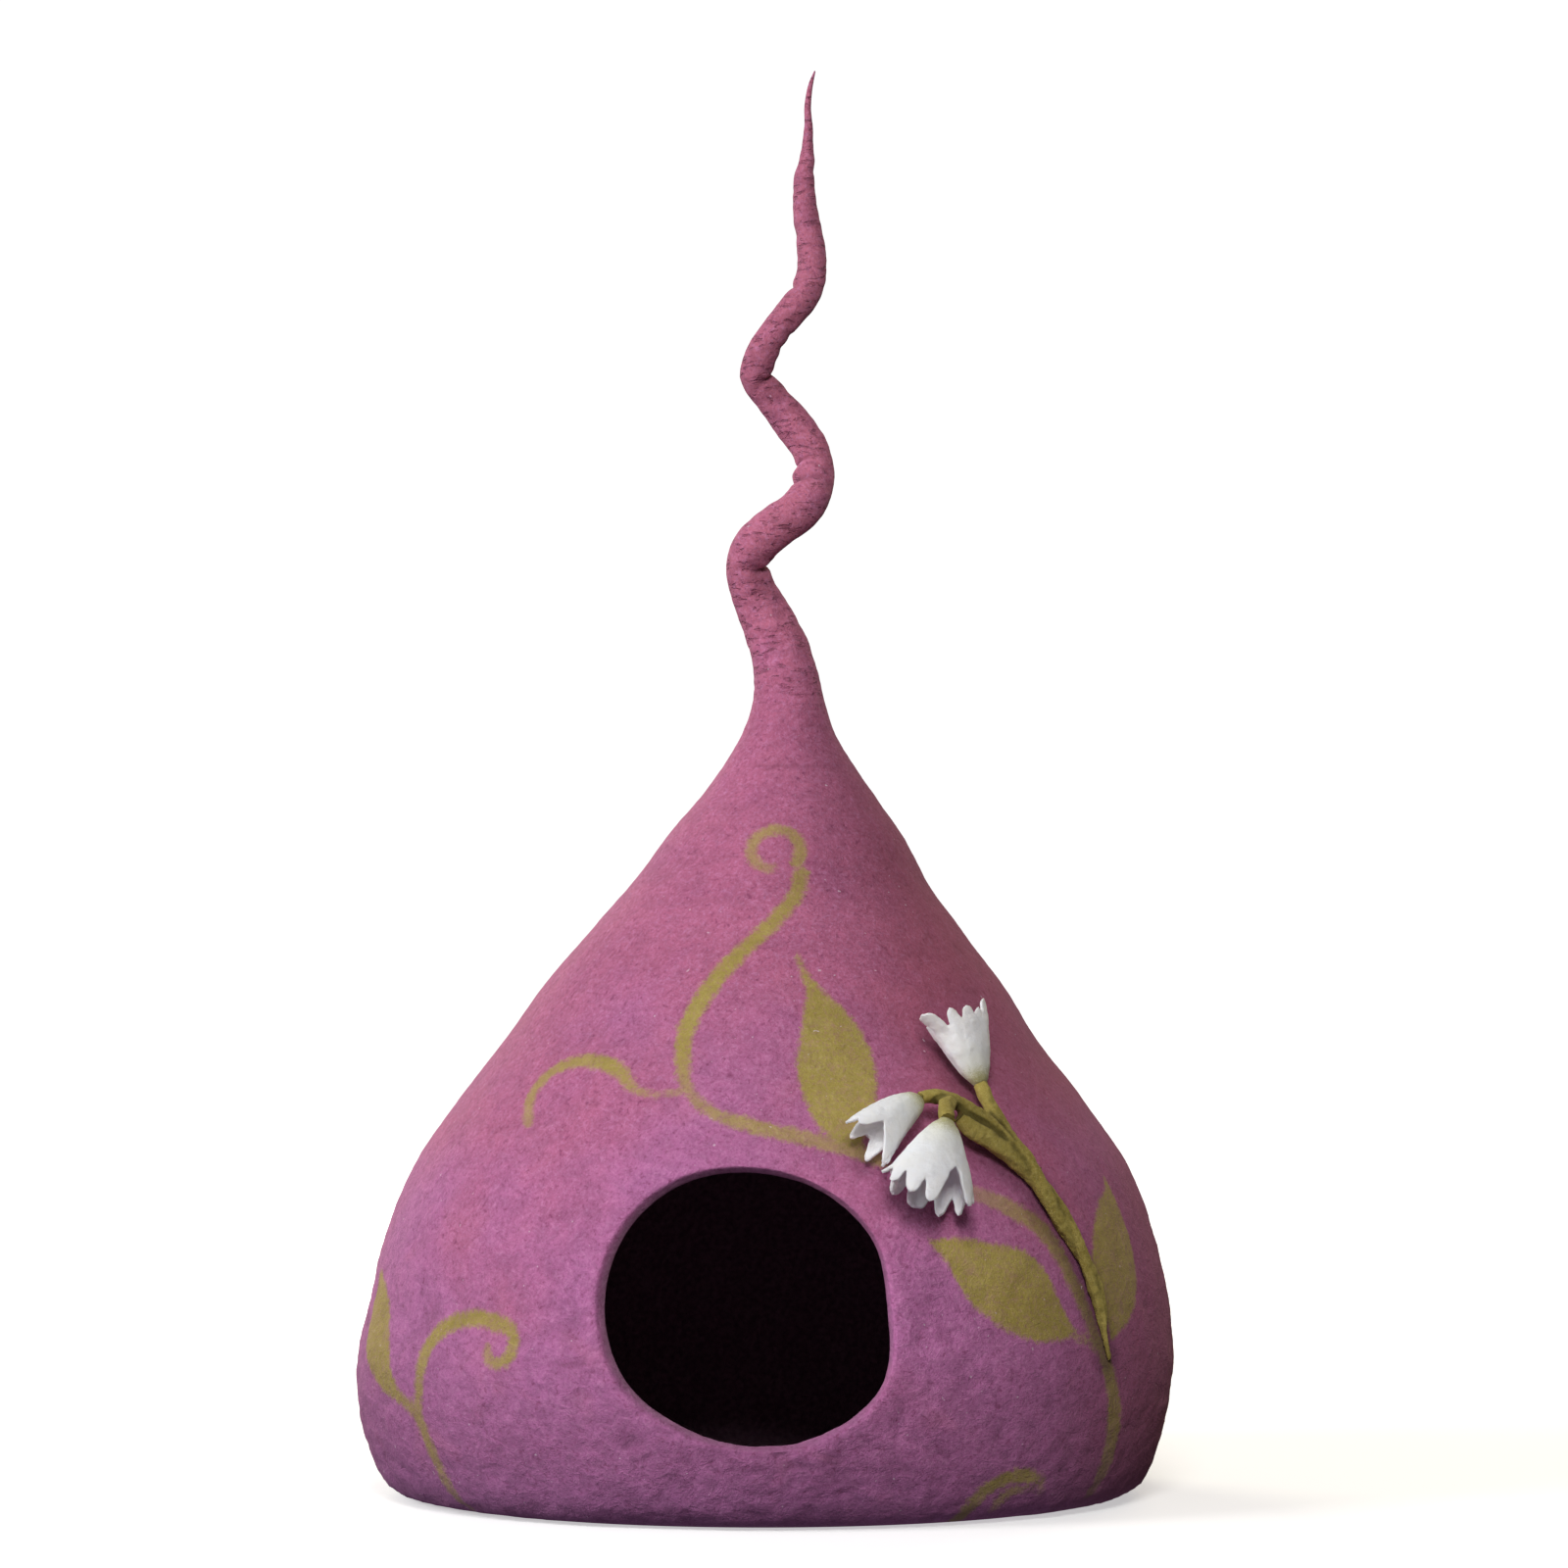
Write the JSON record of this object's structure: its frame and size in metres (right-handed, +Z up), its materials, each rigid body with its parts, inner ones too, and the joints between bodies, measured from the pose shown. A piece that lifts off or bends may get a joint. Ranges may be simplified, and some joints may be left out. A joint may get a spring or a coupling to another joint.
{
  "type": "felt cat cave",
  "caption": "Teardrop cat cave of thick mauve felt with a round doorway in front, a twisted tail on top and white felted bell flowers on an olive stem.",
  "frame": {"origin": "middle of the flat base, on the surface that the cave stands on", "axes": "+Z up along the tail, -Y out of the doorway, +X to the right of somebody facing the doorway"},
  "size_m": [0.4565, 0.4344, 0.8037],
  "materials": {
    "mauve_felt": "dense wet-felted wool, mauve with rose and purple mottling and olive vines laid into its face, matt with short fuzz",
    "olive_felt": "olive green felted wool strand, matt, slightly ridged along its length",
    "white_felt": "thin white felted wool, tinted green at the crown, matt"
  },
  "bodies": {
    "root": {"felt_shell": "mauve_felt", "stem": "olive_felt", "bell_upper": "white_felt", "bell_left": "white_felt", "bell_lower": "white_felt"}
  },
  "joints": []
}
